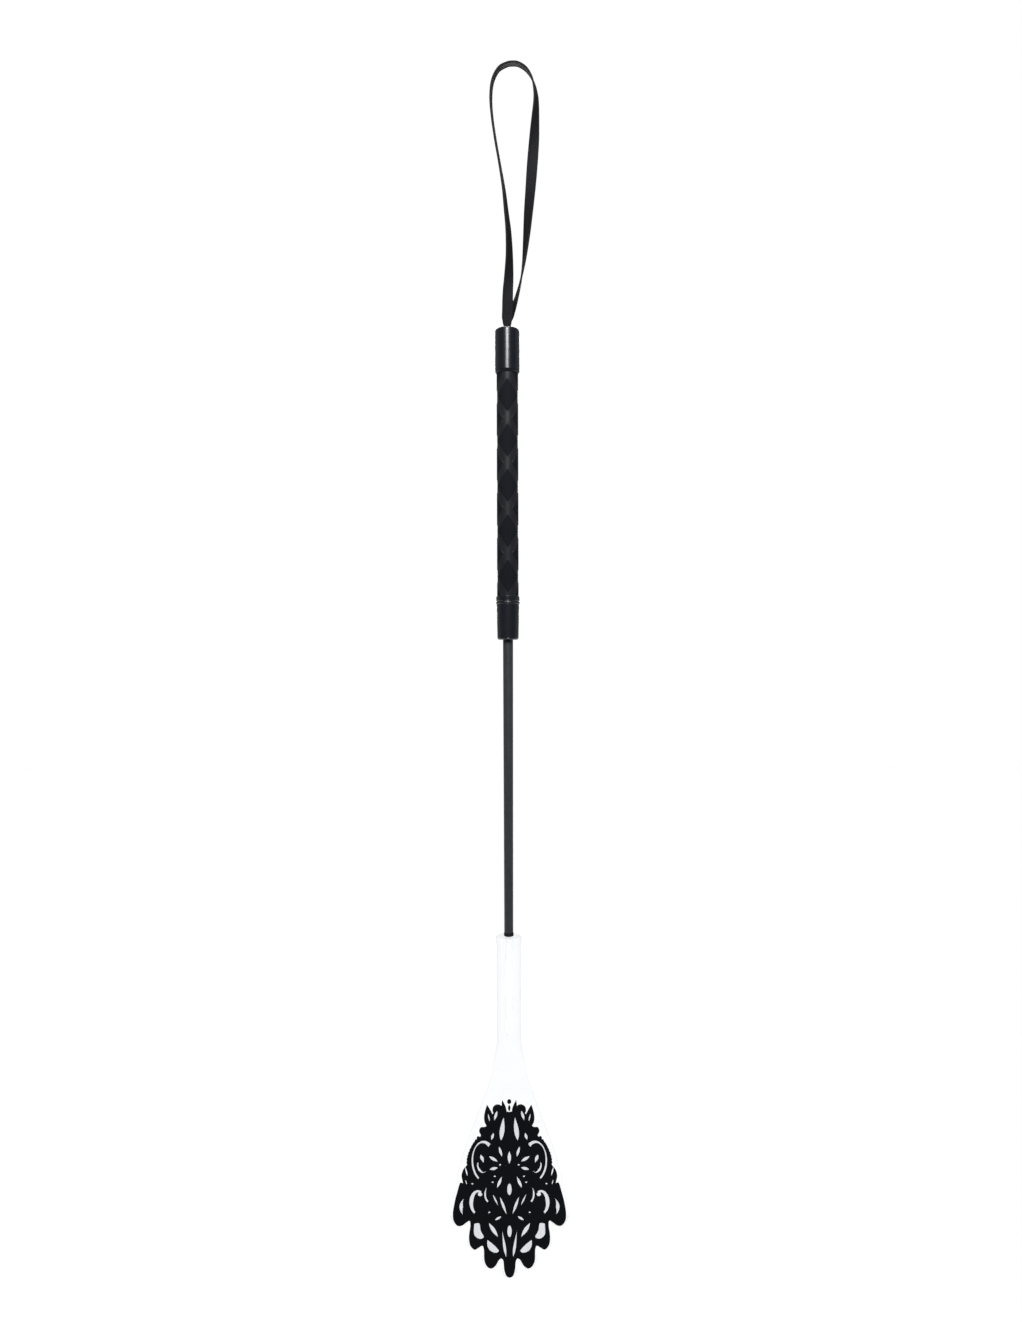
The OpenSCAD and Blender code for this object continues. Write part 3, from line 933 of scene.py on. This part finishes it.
def area_light(name, place, target, size, radiance):
    """A softbox of that radiance which faces a point, and that the camera doesn't see."""
    data = bpy.data.lights.new(name, "AREA")
    data.shape = "RECTANGLE"
    data.size, data.size_y = size
    data.energy = math.pi * size[0] * size[1] * radiance
    light = bpy.data.objects.new(name, data)
    light.location = place
    light.rotation_euler = (Vector(target) - Vector(place)).to_track_quat("-Z", "Y").to_euler()
    light.visible_camera = False
    light.visible_transmission = False
    bpy.context.scene.collection.objects.link(light)
    return light


def make_world():
    """White where the camera looks, straight or through clear plastic.

    For all other light the room is pale behind the crop and dim in front of it.
    """
    world = bpy.data.worlds.new("studio")
    bpy.context.scene.world = world
    world.use_nodes = True
    tree = world.node_tree
    sky = tree.nodes["Background"]
    sky.inputs["Color"].default_value = (1, 1, 1, 1)
    direction = tree.nodes.new("ShaderNodeTexCoord")
    split = tree.nodes.new("ShaderNodeSeparateXYZ")
    room = tree.nodes.new("ShaderNodeMapRange")
    room.interpolation_type = "SMOOTHSTEP"
    room.inputs["From Min"].default_value = ROOM_EDGE[0]
    room.inputs["From Max"].default_value = ROOM_EDGE[1]
    room.inputs["To Min"].default_value = ROOM_FRONT
    room.inputs["To Max"].default_value = ROOM_BACK
    tree.links.new(direction.outputs["Generated"], split.inputs["Vector"])
    tree.links.new(split.outputs["Y"], room.inputs["Value"])
    path = tree.nodes.new("ShaderNodeLightPath")
    direct = tree.nodes.new("ShaderNodeMath")
    direct.operation = "MAXIMUM"
    strength = tree.nodes.new("ShaderNodeMapRange")
    strength.inputs["To Max"].default_value = 1.0
    tree.links.new(path.outputs["Is Camera Ray"], direct.inputs[0])
    tree.links.new(path.outputs["Is Transmission Ray"], direct.inputs[1])
    tree.links.new(direct.outputs["Value"], strength.inputs["Value"])
    tree.links.new(room.outputs["Result"], strength.inputs["To Min"])
    tree.links.new(strength.outputs["Result"], sky.inputs["Strength"])


def make_floor():
    """A pale plane well below the crop, from just in front of it to far behind."""
    sides = (-FLOOR_SIDE, FLOOR_FRONT), (FLOOR_SIDE, FLOOR_FRONT)
    corners = sides + ((FLOOR_SIDE, FLOOR_BACK), (-FLOOR_SIDE, FLOOR_BACK))
    mesh = mesh_from("floor", [(x, y, FLOOR_Z) for x, y in corners], [(0, 1, 2, 3)])
    add_piece("floor", mesh, floor_material())


def link_light(light, state, *names):
    """INCLUDE: the light falls only on the named pieces. EXCLUDE: it falls on all but them."""
    group = bpy.data.collections.new(light.name + "_" + state.lower())
    for name in names:
        group.objects.link(bpy.data.objects[name])
    for item in group.collection_objects:
        item.light_linking.link_state = state
    light.light_linking.receiver_collection = group


def make_lights():
    """A wide overhead sun, a tall key in front, a soft light behind, and a low glint."""
    link_light(area_light("key", **KEY), "EXCLUDE", "floor")
    link_light(area_light("rear", **REAR), "EXCLUDE", "floor", *KEEPER_PIECES)
    link_light(area_light("glint", **GLINT), "INCLUDE", "ferrule_shell")
    sun = bpy.data.lights.new("overhead", "SUN")
    sun.energy = SUN_ENERGY
    sun.angle = math.radians(SUN_ANGLE)
    bpy.context.scene.collection.objects.link(bpy.data.objects.new("overhead", sun))


# ------------------------------------------------------------------ the whole

bpy.context.scene.view_settings.view_transform = "Standard"
make_camera()
make_world()
make_floor()
gloss = grainy("gloss_black", dark=0.006, light=0.01, grain=3500, rough=(0.24, 0.27), bump=0.004)
make_strap(woven_material())
make_cap(gloss)
lattice = grainy(
    "grip_lattice_rubber",
    dark=0.0115,
    light=0.018,
    grain=4200,
    rough=(0.36, 0.46),
    bump=0.25,
    tint=SOFT_BLACK,
    Specular_IOR_Level=0.14,
)
pad = grainy(
    "grip_pad_rubber",
    dark=0.005,
    light=0.009,
    grain=4800,
    rough=(0.75, 0.9),
    bump=0.6,
    Specular_IOR_Level=0.1,
)
make_grip(lattice, pad)
make_ferrule(gloss)
make_sheath(satin_material())
rubber = grainy(
    "ring_rubber",
    dark=0.004,
    light=0.007,
    grain=4000,
    rough=(0.5, 0.65),
    bump=0.3,
    Specular_IOR_Level=0.2,
)
make_ring(rubber)
make_rod(fibreglass_material())
make_keeper(clear_material())
# A sheet of painted shade behind the ornament's openings.
make_shade_film(shade_film_material())
matte = grainy(
    "matte_ornament",
    dark=0.004,
    light=0.006,
    grain=4200,
    rough=(0.62, 0.8),
    bump=0.4,
    Specular_IOR_Level=0.08,
)
make_ornament(matte)
hidden = grainy("core_plastic", dark=0.05, light=0.09, grain=2600, rough=(0.45, 0.6), bump=0.3)
for node in ("handle_core", "strap_knot"):
    materials = frame["nodes"][node].data.materials
    materials.clear()
    materials.append(hidden.data)
make_lights()
